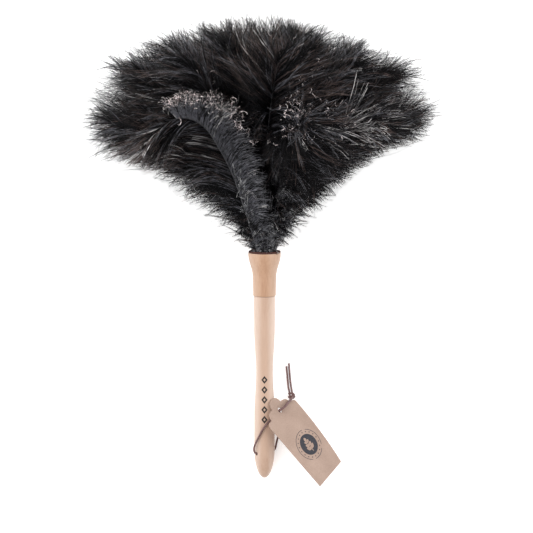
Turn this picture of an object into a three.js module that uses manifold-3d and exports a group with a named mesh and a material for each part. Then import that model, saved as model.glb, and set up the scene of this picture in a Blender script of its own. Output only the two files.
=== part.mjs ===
// Feather duster: a turned wooden handle and collar, a plume of bound feathers, and a card tag on a cord.
// Millimetres. The duster lies on the plane z = 0 with its plume towards +Y and its butt towards -Y.
import * as THREE from 'three';
import { mergeVertices } from 'three/addons/utils/BufferGeometryUtils.js';
import Module from 'manifold-3d';

const wasm = await Module();
wasm.setup();

// ---------- Driving dimensions ----------
const GAP = 0.3; // play between pieces that touch
const LEAN = THREE.MathUtils.degToRad(7); // rise of the duster's axis from butt to plume
const HANDLE_LENGTH = 162; // butt to the collar's seam
const RIM_AT = 200; // butt to the collar's rim
const GRIP_RADIUS = 9.06;
const BUTT_LENGTH = 26; // rounded end of the handle
const NECK_RADIUS = 9.4; // handle at the seam
const TENON_RADIUS = 6;
const TENON_LENGTH = 7;
const DOWEL_RADIUS = 2.4;
const DOWEL_SOCKET_DEPTH = 12;
const RIM_RADIUS = 14.35;
const COLLAR_RADIUS = 10; // collar at the seam
const TURNED_SIDES = 32;

const CORD_HOLE_AT = 22.5; // butt to the cross hole
const CORD_HOLE_RADIUS = 1.6;
const CORD_HOLE_TURN = THREE.MathUtils.degToRad(142); // azimuth of the hole's upper mouth
const CORD_RADIUS = 0.85;
const CORD_SIDES = 8;
const CORD_STEP = 4;

const QUILL_RADIUS = 0.7;
const BEND_AT = 197; // where the feathers start to spread
const BEND_POWER = 0.5; // below 1, a feather bends most just past the rim
const SETTLE_LENGTH = 90; // over this length past the rim the plume changes from round to settled
const UPPER_HEIGHT = 0.65; // height of the upper half against its radius
const LOWER_REACH = 90; // radius over which the lower half reaches the table
const LOWER_PRESS = 1.22; // above 1, the lowest feathers are pressed flat on the table
const RIGHT_SPREAD = 0.93; // right half's width against the left half's

// Feathers are bound on in tiers, the innermost first. Each tier has its own quill circle, final lean
// from the axis in degrees, bent length, widest half width, and the azimuth of its first feather and
// the spacing of the rest in degrees.
const TIERS = [
  { name: 'inner', count: 5, quillCircle: 3.3, start: 172, lean: 15, length: 212, vane: 24, first: 90, spacing: 72 },
  { name: 'upper', count: 8, quillCircle: 5.1, start: 176, lean: 37, length: 220, vane: 32, first: 67, spacing: 45 },
  {
    name: 'middle', count: 11, quillCircle: 6.9, start: 180, lean: 56, length: 230, vane: 36, first: 118.6,
    spacing: 360 / 11,
  },
  { name: 'outer', count: 13, quillCircle: 8.9, start: 187, lean: 75, length: 203, vane: 36, first: 133, spacing: 25.3 },
];
const SHOW_FEATHER_LEAN = 64; // the first outer feather stands up from its tier, beside a gap in it
const BINDING_LENGTH = 3.5;
const BINDING_THICKNESS = 0.9;

const TAG_THICKNESS = 0.8;
const TAG_HOLE_RADIUS = 2.4;
const TAG_HOLE = new THREE.Vector3(13.46, 60.3, 20.6); // centre of the hole, from the butt's foot
const TAG_YAW = THREE.MathUtils.degToRad(38.3); // turn of the tag's length away from the handle
const TAG_ROLL = THREE.MathUtils.degToRad(42); // slope across its width
const TAG_PITCH = THREE.MathUtils.degToRad(6); // slope along its length

// ---------- Materials ----------
function material(colour, roughness) {
  return new THREE.MeshStandardMaterial({ color: new THREE.Color(...colour), roughness, metalness: 0 });
}
const BEECH = material([0.82, 0.63, 0.47], 0.5);
const DARK_BEECH = material([0.68, 0.46, 0.3], 0.5);
const PLAIN_WOOD = material([0.75, 0.58, 0.4], 0.7);
const TWINE = material([0.55, 0.47, 0.35], 0.9);
const FELT = material([0.16, 0.04, 0.04], 0.95);
const FEATHER = material([0.025, 0.023, 0.026], 0.7);
const CORD = material([0.17, 0.09, 0.085], 0.7);
const CARD = material([0.58, 0.4, 0.3], 0.85);

// ---------- Solids and booleans ----------
function toManifold(geometry) {
  const bare = geometry.index ? geometry.toNonIndexed() : geometry.clone();
  bare.deleteAttribute('normal');
  bare.deleteAttribute('uv');
  const merged = mergeVertices(bare, 1e-4);
  return new wasm.Manifold(new wasm.Mesh({
    numProp: 3,
    vertProperties: new Float32Array(merged.attributes.position.array),
    triVerts: new Uint32Array(merged.index.array),
  }));
}

function toGeometry(solid) {
  const mesh = solid.getMesh();
  const geometry = new THREE.BufferGeometry();
  geometry.setAttribute('position', new THREE.BufferAttribute(mesh.vertProperties, 3));
  geometry.setIndex(new THREE.BufferAttribute(mesh.triVerts, 1));
  return geometry;
}

function subtract(geometry, cutter) {
  return toGeometry(toManifold(geometry).subtract(toManifold(cutter)));
}

function named(name, geometry, look) {
  const mesh = new THREE.Mesh(geometry, look);
  mesh.name = name;
  return mesh;
}

function turned(points) {
  return new THREE.LatheGeometry(points, TURNED_SIDES);
}

function ring(innerRadius, outerRadius, from, to) {
  return turned([
    new THREE.Vector2(innerRadius, from),
    new THREE.Vector2(outerRadius, from),
    new THREE.Vector2(outerRadius, to),
    new THREE.Vector2(innerRadius, to),
    new THREE.Vector2(innerRadius, from),
  ]);
}

// ---------- Handle ----------
function handleOutline() {
  const butt = [];
  const buttSteps = 8;
  for (let i = 0; i < buttSteps; i += 1) {
    const turn = (i / buttSteps) * (Math.PI / 2);
    const along = BUTT_LENGTH * (1 - Math.cos(turn));
    butt.push(new THREE.Vector2(GRIP_RADIUS * Math.sin(turn), along));
  }
  const grip = new THREE.SplineCurve([
    new THREE.Vector2(GRIP_RADIUS, BUTT_LENGTH),
    new THREE.Vector2(9.0, 42),
    new THREE.Vector2(8.75, 64),
    new THREE.Vector2(7.7, 83),
    new THREE.Vector2(7.43, 96),
    new THREE.Vector2(8.1, 110),
    new THREE.Vector2(9.1, 129),
    new THREE.Vector2(NECK_RADIUS, HANDLE_LENGTH),
  ]);
  return [...butt, ...grip.getPoints(16)];
}

function handleGeometry() {
  const tenonTop = HANDLE_LENGTH + TENON_LENGTH;
  const socket = DOWEL_RADIUS + GAP;
  const body = turned([
    ...handleOutline(),
    new THREE.Vector2(TENON_RADIUS, HANDLE_LENGTH),
    new THREE.Vector2(TENON_RADIUS, tenonTop),
    new THREE.Vector2(socket, tenonTop),
    new THREE.Vector2(socket, tenonTop - DOWEL_SOCKET_DEPTH),
    new THREE.Vector2(0, tenonTop - DOWEL_SOCKET_DEPTH),
  ]);
  const drill = new THREE.CylinderGeometry(CORD_HOLE_RADIUS, CORD_HOLE_RADIUS, 4 * GRIP_RADIUS, 16);
  drill.rotateZ(Math.PI / 2);
  drill.rotateY(Math.PI - CORD_HOLE_TURN);
  drill.translate(0, CORD_HOLE_AT, 0);
  return subtract(body, drill);
}

// The axis is as high as the handle's own lowest point allows.
const BUTT_HEIGHT = Math.max(
  ...handleOutline().map((point) => point.x * Math.cos(LEAN) - point.y * Math.sin(LEAN)),
);

// ---------- Collar, dowel, bindings and rim felt ----------
function collarGeometry() {
  const flare = new THREE.CubicBezierCurve(
    new THREE.Vector2(10.3, 179),
    new THREE.Vector2(10.7, 188),
    new THREE.Vector2(13.9, 190),
    new THREE.Vector2(RIM_RADIUS, RIM_AT),
  );
  const mouth = new THREE.CubicBezierCurve(
    new THREE.Vector2(RIM_RADIUS - 1.2, RIM_AT),
    new THREE.Vector2(12.2, 191),
    new THREE.Vector2(10.2, 190),
    new THREE.Vector2(9.2, 183.5),
  );
  const tenonHole = TENON_RADIUS + GAP;
  const tenonHoleTop = HANDLE_LENGTH + TENON_LENGTH + GAP;
  return turned([
    new THREE.Vector2(tenonHole, HANDLE_LENGTH + GAP),
    new THREE.Vector2(COLLAR_RADIUS, HANDLE_LENGTH + GAP),
    ...flare.getPoints(8),
    ...mouth.getPoints(6),
    new THREE.Vector2(8.2, tenonHoleTop),
    new THREE.Vector2(tenonHole, tenonHoleTop),
    new THREE.Vector2(tenonHole, HANDLE_LENGTH + GAP),
  ]);
}

function dowelGeometry() {
  const bottom = HANDLE_LENGTH + TENON_LENGTH - DOWEL_SOCKET_DEPTH + GAP;
  return turned([
    new THREE.Vector2(0, bottom),
    new THREE.Vector2(DOWEL_RADIUS, bottom),
    new THREE.Vector2(DOWEL_RADIUS - GAP, RIM_AT - 3),
    new THREE.Vector2(0, RIM_AT - 3),
  ]);
}

// Each tier but the outermost is tied to the dowel below the next tier's quills.
function bindings() {
  return TIERS.slice(0, -1).map((tier, index) => {
    const inner = tier.quillCircle + QUILL_RADIUS + GAP;
    const geometry = ring(inner, inner + BINDING_THICKNESS, tier.start, tier.start + BINDING_LENGTH);
    return named(`binding_${index + 1}`, geometry, TWINE);
  });
}

function rimFeltGeometry() {
  const bottom = RIM_AT + GAP;
  return ring(RIM_RADIUS - 2, RIM_RADIUS - 0.2, bottom, bottom + 1.8);
}

// ---------- Plume ----------
// Radius, height and lean of a feather's centre line, at even steps along its bent length.
function centreLine(tier, steps) {
  const line = [{ radius: tier.quillCircle, height: BEND_AT, lean: 0 }];
  const substeps = 12;
  let { radius, height } = line[0];
  for (let i = 1; i <= steps * substeps; i += 1) {
    const along = (i - 0.5) / (steps * substeps);
    const lean = THREE.MathUtils.degToRad(tier.lean) * along ** BEND_POWER;
    const step = tier.length / (steps * substeps);
    radius += step * Math.sin(lean);
    height += step * Math.cos(lean);
    if (i % substeps === 0) line.push({ radius, height, lean });
  }
  return line;
}

// From the round plume, given as radius, azimuth and height on its axis, to the settled one on the table.
function settle(radius, azimuth, height) {
  const settled = THREE.MathUtils.smoothstep(height, RIM_AT, RIM_AT + SETTLE_LENGTH);
  const across = radius * Math.cos(azimuth);
  const up = radius * Math.sin(azimuth);
  const tableDepth = LOWER_PRESS * (BUTT_HEIGHT + height * Math.sin(LEAN)) / Math.cos(LEAN);
  const pressed = up > 0 ? UPPER_HEIGHT * up : tableDepth * Math.tanh(up / LOWER_REACH);
  const spread = across > 0 ? RIGHT_SPREAD * across : across;
  const x = THREE.MathUtils.lerp(across, spread, settled);
  const rise = THREE.MathUtils.lerp(up, pressed, settled);
  return new THREE.Vector3(
    x,
    height * Math.cos(LEAN) - rise * Math.sin(LEAN),
    BUTT_HEIGHT + height * Math.sin(LEAN) + rise * Math.cos(LEAN),
  );
}

// A blade of six-sided sections: the envelope of one feather, inside its own share of the plume.
function featherGeometry(tier, azimuth) {
  const steps = 9;
  const sides = 6;
  const share = 0.46; // half width allowed, against the spacing of the tier's feathers
  const spine = centreLine(tier, steps);
  const sections = [{ radius: tier.quillCircle, height: tier.start, lean: 0, half: QUILL_RADIUS, thick: QUILL_RADIUS }];
  spine.forEach((point, index) => {
    const along = index / steps;
    const vane = Math.sin(Math.PI * Math.min(along, 0.93) ** 1.1);
    const room = share * THREE.MathUtils.degToRad(tier.spacing) * point.radius;
    const half = Math.min(QUILL_RADIUS + tier.vane * vane, index < 1 ? QUILL_RADIUS : room);
    const thick = QUILL_RADIUS + 1.6 * vane * Math.min(1, 3 * along);
    sections.push({ ...point, half, thick });
  });
  const positions = [];
  const indices = [];
  sections.forEach((section) => {
    for (let side = 0; side < sides; side += 1) {
      const turn = (side / sides) * 2 * Math.PI;
      const lift = section.thick * Math.sin(turn);
      const radius = section.radius + lift * Math.cos(section.lean);
      const height = section.height - lift * Math.sin(section.lean);
      const swing = (section.half * Math.cos(turn)) / section.radius;
      positions.push(...settle(radius, azimuth + swing, height).toArray());
    }
  });
  for (let row = 0; row + 1 < sections.length; row += 1) {
    for (let side = 0; side < sides; side += 1) {
      const next = (side + 1) % sides;
      const a = row * sides + side;
      const b = row * sides + next;
      indices.push(a, b, b + sides, a, b + sides, a + sides);
    }
  }
  const last = (sections.length - 1) * sides;
  for (let side = 1; side + 1 < sides; side += 1) {
    indices.push(0, side + 1, side);
    indices.push(last, last + side, last + side + 1);
  }
  const blade = new THREE.BufferGeometry();
  blade.setAttribute('position', new THREE.Float32BufferAttribute(positions, 3));
  blade.setIndex(indices);
  return subtract(blade, belowTable());
}

function belowTable() {
  const depth = 100;
  const slab = new THREE.BoxGeometry(1000, 1000, depth);
  slab.translate(0, 0, -depth / 2);
  return slab;
}

function feathers() {
  return TIERS.flatMap((tier) => Array.from({ length: tier.count }, (_, index) => {
    const azimuth = THREE.MathUtils.degToRad(tier.first + tier.spacing * index);
    const isShowFeather = tier.name === 'outer' && index === 0;
    const shape = isShowFeather ? { ...tier, lean: SHOW_FEATHER_LEAN } : tier;
    const label = String(index + 1).padStart(2, '0');
    return named(`feather_${tier.name}_${label}`, featherGeometry(shape, azimuth), FEATHER);
  }));
}

// ---------- Tag ----------
// Width runs along +X and length along -Y from the hole at the origin; the head is scalloped.
function tagGeometry() {
  const outline = new THREE.Shape();
  outline.moveTo(-18.2, -73.4);
  outline.lineTo(-21.3, -6);
  outline.quadraticCurveTo(-21.2, -0.5, -15, -1.8);
  outline.quadraticCurveTo(-14.5, 5.5, -6.8, 5);
  outline.quadraticCurveTo(-6.2, 12, 0, 12);
  outline.quadraticCurveTo(6.2, 12, 6.8, 5);
  outline.quadraticCurveTo(14.5, 5.5, 15, -1.8);
  outline.quadraticCurveTo(21.2, -0.5, 21.3, -6);
  outline.quadraticCurveTo(23.2, -40, 18.5, -71.9);
  const card = new THREE.ExtrudeGeometry(outline, {
    depth: TAG_THICKNESS, bevelEnabled: false, curveSegments: 6,
  });
  card.translate(0, 0, -TAG_THICKNESS / 2);
  const punch = new THREE.CylinderGeometry(TAG_HOLE_RADIUS, TAG_HOLE_RADIUS, 10 * TAG_THICKNESS, 20);
  punch.rotateX(Math.PI / 2);
  return subtract(card, punch);
}

function tag() {
  const length = new THREE.Vector3(
    Math.sin(TAG_YAW) * Math.cos(TAG_PITCH),
    -Math.cos(TAG_YAW) * Math.cos(TAG_PITCH),
    -Math.sin(TAG_PITCH),
  );
  const level = new THREE.Vector3(Math.cos(TAG_YAW), Math.sin(TAG_YAW), 0);
  const upright = new THREE.Vector3().crossVectors(level, length).negate();
  const across = level.multiplyScalar(Math.cos(TAG_ROLL)).addScaledVector(upright, -Math.sin(TAG_ROLL));
  const face = new THREE.Vector3().crossVectors(length, across);
  const card = named('tag', tagGeometry(), CARD);
  card.quaternion.setFromRotationMatrix(new THREE.Matrix4().makeBasis(across, length.negate(), face));
  card.position.copy(TAG_HOLE);
  return card;
}

// ---------- Cord ----------
// Both strands start in the cross hole, pass through the tag's hole and meet at the knot.
const FRONT_STRAND = [
  [-0.24, 22.3, 9.25], [-3.5, 22.0, 11.8], [-6.0, 21.8, 13.7], [-7.7, 22.1, 15.0], [-8.9, 23.6, 15.9],
  [-9.2, 26.6, 16.8], [-7.8, 31.0, 18.3], [-4.9, 36.8, 20.5], [-1.2, 43.8, 22.4], [2.9, 49.2, 22.8],
  [6.2, 52.7, 21.6], [8.5, 55.4, 19.4], [10.0, 57.1, 18.0], [11.3, 58.4, 18.2], [12.3, 59.3, 19.7],
  [13.0, 59.9, 21.5], [14.2, 60.6, 23.1], [16.0, 62.0, 23.9], [18.0, 63.5, 23.2], [19.5, 65.0, 21.4],
  [20.7, 66.3, 18.9], [21.9, 67.6, 16.4], [23.2, 68.9, 13.9], [24.2, 70.1, 11.0], [24.6, 71.1, 7.8],
];
const BACK_STRAND = [
  [0.24, 22.4, 8.9], [3.5, 22.7, 6.3], [6.0, 22.9, 4.4], [8.0, 23.5, 2.8], [9.4, 25.4, 1.7],
  [10.2, 28.4, 1.1], [11.3, 33.2, 1.3], [13.0, 38.8, 2.8], [14.5, 45.2, 5.9], [14.9, 51.3, 9.3],
  [13.9, 56.4, 12.2], [13.0, 59.0, 15.2], [13.2, 60.3, 18.0], [13.9, 60.9, 20.0], [15.0, 61.5, 21.4],
  [16.4, 62.5, 21.9], [17.8, 63.7, 20.7], [18.8, 64.9, 18.3], [20.0, 66.2, 15.6], [21.3, 67.5, 13.3],
  [22.4, 68.7, 11.2], [22.8, 69.4, 9.2], [22.7, 69.8, 7.3],
];
const LONG_TAIL = [
  [24.3, 75.7, 3.6], [23.6, 80.0, 2.2], [22.9, 85.0, 1.3], [22.3, 92.0, 1.0], [21.6, 101.0, 1.0],
];
const SHORT_TAIL = [
  [22.1, 75.2, 3.4], [21.1, 80.0, 1.9], [20.6, 85.0, 1.1], [20.1, 91.0, 1.0], [19.4, 98.3, 1.0],
];
const KNOT_CENTRE = new THREE.Vector3(24.0, 71.9, 3.9);
const KNOT_HALF_SIZE = new THREE.Vector3(3.1, 3.5, 3.2);

function cordGeometry(route) {
  const path = new THREE.CatmullRomCurve3(route.map((point) => new THREE.Vector3(...point)));
  const section = new THREE.Shape();
  section.absarc(0, 0, CORD_RADIUS, 0, 2 * Math.PI);
  return new THREE.ExtrudeGeometry(section, {
    extrudePath: path,
    steps: Math.round(path.getLength() / CORD_STEP),
    curveSegments: CORD_SIDES,
  });
}

function knotGeometry() {
  const knot = new THREE.IcosahedronGeometry(1, 2);
  knot.scale(...KNOT_HALF_SIZE.toArray());
  knot.translate(...KNOT_CENTRE.toArray());
  return knot;
}

// ---------- Assembly ----------
const woodwork = new THREE.Group();
woodwork.add(
  named('handle', handleGeometry(), BEECH),
  named('collar', collarGeometry(), DARK_BEECH),
  named('core_dowel', dowelGeometry(), PLAIN_WOOD),
  named('rim_felt', rimFeltGeometry(), FELT),
  ...bindings(),
);
woodwork.rotation.x = LEAN;
woodwork.position.z = BUTT_HEIGHT;

const body = new THREE.Group();
body.add(woodwork, ...feathers());

const hangings = new THREE.Group();
hangings.add(
  tag(),
  named('cord_front_strand', cordGeometry(FRONT_STRAND), CORD),
  named('cord_back_strand', cordGeometry(BACK_STRAND), CORD),
  named('cord_long_tail', cordGeometry(LONG_TAIL), CORD),
  named('cord_short_tail', cordGeometry(SHORT_TAIL), CORD),
  named('cord_knot', knotGeometry(), CORD),
);

// The origin is under the middle of the duster, measured without its cord and tag.
const featherDuster = new THREE.Group();
featherDuster.add(body, hangings);
body.updateMatrixWorld(true);
const middle = new THREE.Box3().setFromObject(body, true).getCenter(new THREE.Vector3());
featherDuster.position.set(-middle.x, -middle.y, 0);

export default featherDuster;
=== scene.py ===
"""Feather duster lying on a white surface, seen from above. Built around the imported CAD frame."""
import math

import bmesh
import bpy
import numpy as np
from mathutils import Matrix, Vector


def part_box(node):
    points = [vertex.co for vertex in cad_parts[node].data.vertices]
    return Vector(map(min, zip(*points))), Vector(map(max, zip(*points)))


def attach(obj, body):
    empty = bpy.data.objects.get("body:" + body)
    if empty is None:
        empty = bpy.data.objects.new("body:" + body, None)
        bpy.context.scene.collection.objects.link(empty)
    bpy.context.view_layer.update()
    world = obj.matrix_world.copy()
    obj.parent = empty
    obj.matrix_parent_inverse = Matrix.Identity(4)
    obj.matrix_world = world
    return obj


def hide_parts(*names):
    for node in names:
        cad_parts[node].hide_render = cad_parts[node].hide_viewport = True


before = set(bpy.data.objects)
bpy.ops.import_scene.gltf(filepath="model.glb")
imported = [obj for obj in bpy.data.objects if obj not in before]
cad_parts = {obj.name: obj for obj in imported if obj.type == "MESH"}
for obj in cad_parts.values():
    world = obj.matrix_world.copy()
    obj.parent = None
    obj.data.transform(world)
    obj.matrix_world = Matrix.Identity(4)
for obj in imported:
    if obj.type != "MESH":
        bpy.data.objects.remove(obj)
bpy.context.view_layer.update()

MM = 0.001
BODY = "duster"

# The part's own drawing starts at the foot of the butt: its place in this frame.
HANDLE_LOW, HANDLE_HIGH = (np.array(corner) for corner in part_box("handle"))
FOOT = np.array([(HANDLE_LOW[0] + HANDLE_HIGH[0]) / 2, HANDLE_LOW[1], 0.0])

# Driving dimensions, in metres, as in the CAD model.
LEAN = math.radians(7)
HANDLE_LENGTH = 162 * MM
RIM_AT = 200 * MM
GRIP_RADIUS = 9.06 * MM
BUTT_LENGTH = 26 * MM
NECK_RADIUS = 9.4 * MM
TENON_RADIUS = 6 * MM
TENON_LENGTH = 7 * MM
SOCKET_RADIUS = 2.7 * MM
SEAM_GAP = 0.3 * MM
COLLAR_RADIUS = 10 * MM
RIM_RADIUS = 14.35 * MM
CORD_HOLE_AT = 22.5 * MM
CORD_HOLE_TURN = math.radians(142)
CORD_HOLE_RADIUS = 1.6 * MM
CORD_RADIUS = 0.85 * MM
QUILL_RADIUS = 0.7 * MM
BEND_AT = 197 * MM
BEND_POWER = 0.5
SETTLE_LENGTH = 90 * MM
UPPER_HEIGHT = 0.65
LOWER_REACH = 90 * MM
LOWER_PRESS = 1.22
RIGHT_SPREAD = 0.93
# Random seeds of the felt and of the first feather.
FELT_SEED = 7
PLUME_SEED = 101


# ---------- Helpers ----------
class Surface:
    """A node material being built, with short ways to add and link its nodes."""

    def __init__(self, name, roughness):
        self.material = bpy.data.materials.new(name)
        self.material.use_nodes = True
        self.nodes = self.material.node_tree.nodes
        self.links = self.material.node_tree.links
        self.inputs = self.nodes["Principled BSDF"].inputs
        self.inputs["Roughness"].default_value = roughness

    def node(self, kind, **settings):
        """A new node, with links or values for the inputs that settings name, or else properties."""
        node = self.nodes.new(kind)
        for key, value in settings.items():
            if key not in node.inputs:
                setattr(node, key, value)
            elif isinstance(value, bpy.types.NodeSocket):
                self.links.new(value, node.inputs[key])
            else:
                node.inputs[key].default_value = value
        return node

    def object_place(self):
        return self.node("ShaderNodeTexCoord").outputs["Object"]

    def stretched(self, place, scale, turn=(0, 0, 0)):
        return self.node("ShaderNodeMapping", Vector=place, Scale=scale, Rotation=turn).outputs["Vector"]

    def split(self, place, axis):
        return self.node("ShaderNodeSeparateXYZ", Vector=place).outputs[axis]

    def noise(self, place, scale, detail, roughness=0.5):
        settings = dict(Vector=place, Scale=scale, Detail=detail, Roughness=roughness)
        return self.node("ShaderNodeTexNoise", **settings).outputs["Fac"]

    def blend(self, share, first, second):
        """Between two values, by the share of the second."""
        node = self.node("ShaderNodeMix", data_type="FLOAT", Factor=share)
        self.links.new(first, node.inputs[2])
        self.links.new(second, node.inputs[3])
        return node.outputs[0]

    def map_range(self, value, start, end, kind="LINEAR"):
        """A value from one range (low, high) to another."""
        node = self.node("ShaderNodeMapRange", interpolation_type=kind, Value=value)
        for socket, number in zip(("From Min", "From Max", "To Min", "To Max"), (*start, *end)):
            node.inputs[socket].default_value = number
        return node.outputs["Result"]

    def ramp(self, value, stops):
        """Colour by a value, from stops of (value, colour)."""
        node = self.node("ShaderNodeValToRGB", Fac=value)
        elements = node.color_ramp.elements
        while len(elements) < len(stops):
            elements.new(0.5)
        for element, (place, colour) in zip(elements, stops):
            element.position = place
            element.color = (*colour, 1)
        return node.outputs["Color"]

    def colour(self, output):
        self.links.new(output, self.inputs["Base Color"])

    def bump(self, height, strength, depth):
        node = self.node("ShaderNodeBump", Height=height, Strength=strength, Distance=depth)
        self.links.new(node.outputs["Normal"], self.inputs["Normal"])


def smoothstep(value, low, high):
    """0 below low, 1 above high, and smooth between them."""
    x = np.clip((value - low) / (high - low), 0, 1)
    return x * x * (3 - 2 * x)


def give_material(obj, *materials):
    """These materials alone in the object's slots."""
    if obj.data.materials:  # clearing also sets every face to the first slot
        obj.data.materials.clear()
    for material in materials:
        obj.data.materials.append(material)


def add_object(name, data):
    """A new object in the scene."""
    obj = bpy.data.objects.new(name, data)
    bpy.context.scene.collection.objects.link(obj)
    return obj


def place_piece(piece, materials, slot, *nodes, body=BODY):
    """Sets a piece's materials, its body and the CAD nodes that it replaces, which it hides; the slot is
    not used.
    """
    give_material(piece, *materials)
    if nodes:
        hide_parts(*nodes)
    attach(piece, body)


# ---------- Camera, light and floor ----------
VIEW_WIDTH = 469.04 * MM
VIEW_CENTRE = FOOT + np.array([1.8, 186.6, 18]) * MM
LENS = 200
SENSOR_WIDTH = 36
CAMERA_DISTANCE = VIEW_WIDTH * LENS / SENSOR_WIDTH
FLOOR_SIZE = 6.0
FLOOR_DROP = 0.2 * MM


def make_camera():
    """Straight above the duster, where the view's width fills the frame."""
    data = bpy.data.cameras.new("camera")
    data.lens = LENS
    data.sensor_width = SENSOR_WIDTH
    data.clip_end = 20
    camera = add_object("camera", data)
    camera.location = VIEW_CENTRE + (0, 0, CAMERA_DISTANCE)
    bpy.context.scene.camera = camera


def soft_box(name, place, size, power):
    """An area light at a place from the view's centre, which it faces."""
    data = bpy.data.lights.new(name, "AREA")
    data.shape = "RECTANGLE"
    data.size, data.size_y = size
    data.energy = power
    light = add_object(name, data)
    light.location = VIEW_CENTRE + place
    light.rotation_euler = Vector(place).to_track_quat("Z", "Y").to_euler()


def make_world():
    """Even white surroundings."""
    world = bpy.data.worlds.new("studio")
    world.use_nodes = True
    background = world.node_tree.nodes["Background"].inputs
    background["Color"].default_value = (1, 1, 1, 1)
    background["Strength"].default_value = 0.75
    bpy.context.scene.world = world
    bpy.context.scene.view_settings.view_transform = "Standard"


def make_floor():
    """A wide white sheet just below the table plane, which glows a little."""
    bpy.ops.mesh.primitive_plane_add(size=FLOOR_SIZE, location=(0, 0, -FLOOR_DROP))
    floor = bpy.context.object
    floor.name = "floor"
    surface = Surface("floor_white", roughness=0.8)
    surface.inputs["Base Color"].default_value = (0.93, 0.93, 0.93, 1)
    surface.inputs["Emission Color"].default_value = (1, 1, 1, 1)
    surface.inputs["Emission Strength"].default_value = 0.4
    give_material(floor, surface.material)


def make_stage():
    """The surroundings, three soft boxes and the floor."""
    make_world()
    soft_box("light_left", place=(-0.9, 0.2, 0.9), size=(0.9, 1.4), power=9)
    soft_box("light_right", place=(0.9, 0.1, 0.8), size=(0.7, 1.4), power=6)
    soft_box("light_top", place=(-0.2, 0.9, 1.3), size=(1.4, 0.9), power=7)
    make_floor()


# ---------- Materials ----------
# The strand meshes' UV map: from strand to strand (U) and from root to tip (V).
BARB_MAP = "OFBake"


def wood_material(name, light, dark, middle_shade, figure, grain):
    """Fine grain over a soft broad figure, with painted shade: a darker, warmer band along the middle, seen
    from above.
    """
    surface = Surface(name, roughness=0.42)
    place = surface.object_place()
    lengthwise = surface.stretched(place, (1, 0.05, 1), (-LEAN, 0, 0))
    broad = surface.noise(lengthwise, figure, 3.0)
    fine = surface.noise(lengthwise, figure * 9, 5.0, 0.65)
    bright = tuple(min(1, 1.08 * part) for part in light)
    both = surface.blend(grain, broad, fine)
    tint = surface.ramp(both, [(0.32, dark), (0.5, light), (0.72, bright)])
    # Painted shade: the colour is multiplied by a darker, warmer tone in a band along the middle, seen from
    # above.
    offset = surface.node("ShaderNodeMath", operation="SUBTRACT", Value=surface.split(place, "X"))
    offset.inputs[1].default_value = FOOT[0]
    apart = surface.node("ShaderNodeMath", operation="ABSOLUTE", Value=offset.outputs["Value"])
    middle_shade_share = surface.map_range(apart.outputs["Value"], (7 * MM, 1.5 * MM), (0, 0.75), "SMOOTHSTEP")
    middle_shaded = surface.node("ShaderNodeMix", data_type="RGBA", blend_type="MULTIPLY", Factor=middle_shade_share)
    surface.links.new(tint, middle_shaded.inputs[6])
    middle_shaded.inputs[7].default_value = (*middle_shade, 1)
    surface.colour(middle_shaded.outputs[2])
    surface.bump(fine, 0.12, 0.1 * MM)
    surface.inputs["Coat Weight"].default_value = 0.12
    surface.inputs["Coat Roughness"].default_value = 0.3
    return surface.material


def card_material():
    """Brown kraft card: fine fibres over faint clouds."""
    surface = Surface("kraft_card", roughness=0.85)
    place = surface.object_place()
    fibre = surface.noise(place, 900.0, 4.0, 0.7)
    cloud = surface.noise(place, 60.0, 2.0)
    dark, plain, light = (0.32, 0.225, 0.178), (0.38, 0.27, 0.216), (0.44, 0.32, 0.258)
    both = surface.blend(0.45, fibre, cloud)
    surface.colour(surface.ramp(both, [(0.3, dark), (0.5, plain), (0.7, light)]))
    surface.bump(fibre, 0.25, 0.1 * MM)
    return surface.material


def noisy_material(name, dark, light, scale, roughness, relief=0.5, depth=0.2 * MM):
    """Two tones mixed by a fine noise, which also raises the surface."""
    surface = Surface(name, roughness)
    noise = surface.noise(surface.object_place(), scale, 4.0, 0.6)
    surface.colour(surface.ramp(noise, [(0.35, dark), (0.65, light)]))
    if relief:
        surface.bump(noise, relief, depth)
    return surface.material


def barb_material(name, root, middle, tip, roughness, shine):
    """Colour that runs along each barb, lighter or darker from barb to barb, with short painted glints
    along it.
    """
    surface = Surface(name, roughness)
    place = surface.node("ShaderNodeUVMap", uv_map=BARB_MAP).outputs["UV"]
    along = surface.ramp(surface.split(place, "Y"), [(0.0, root), (0.45, middle), (1.0, tip)])
    # Random tone from barb to barb, and painted glints: noise scales the colour from 0.08 to 3.6 times in
    # short dashes along each barb.
    strand = surface.noise(surface.stretched(place, (1, 0.005, 1)), 1400.0, 2.0)
    shade = surface.map_range(strand, (0.4, 0.64), (0.08, 3.6))
    shaded = surface.node("ShaderNodeVectorMath", operation="SCALE", Vector=along, Scale=shade)
    surface.colour(shaded.outputs["Vector"])
    surface.inputs["Specular IOR Level"].default_value = shine
    return surface.material


# ---------- Turned wood ----------
def spline(points, steps):
    """Uniform Catmull-Rom curve through the points, as three.js's SplineCurve draws it."""
    points = np.array(points, float)
    last = len(points) - 1
    padded = np.concatenate([points[:1], points, points[-1:]])
    line = []
    for u in np.linspace(0, last, steps + 1):
        i = min(int(u), last - 1)
        w = u - i
        p0, p1, p2, p3 = padded[i:i + 4]
        v0, v1 = (p2 - p0) / 2, (p3 - p1) / 2
        cubic = 2 * p1 - 2 * p2 + v0 + v1
        square = -3 * p1 + 3 * p2 - 2 * v0 - v1
        line.append(cubic * w ** 3 + square * w ** 2 + v0 * w + p1)
    return np.array(line)


def bezier(points, steps):
    """Cubic Bezier curve from its four points."""
    p0, p1, p2, p3 = (np.array(p, float) for p in points)
    t = np.linspace(0, 1, steps + 1)[:, None]
    return p0 * (1 - t) ** 3 + 3 * p1 * t * (1 - t) ** 2 + 3 * p2 * t * t * (1 - t) + p3 * t ** 3


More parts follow.
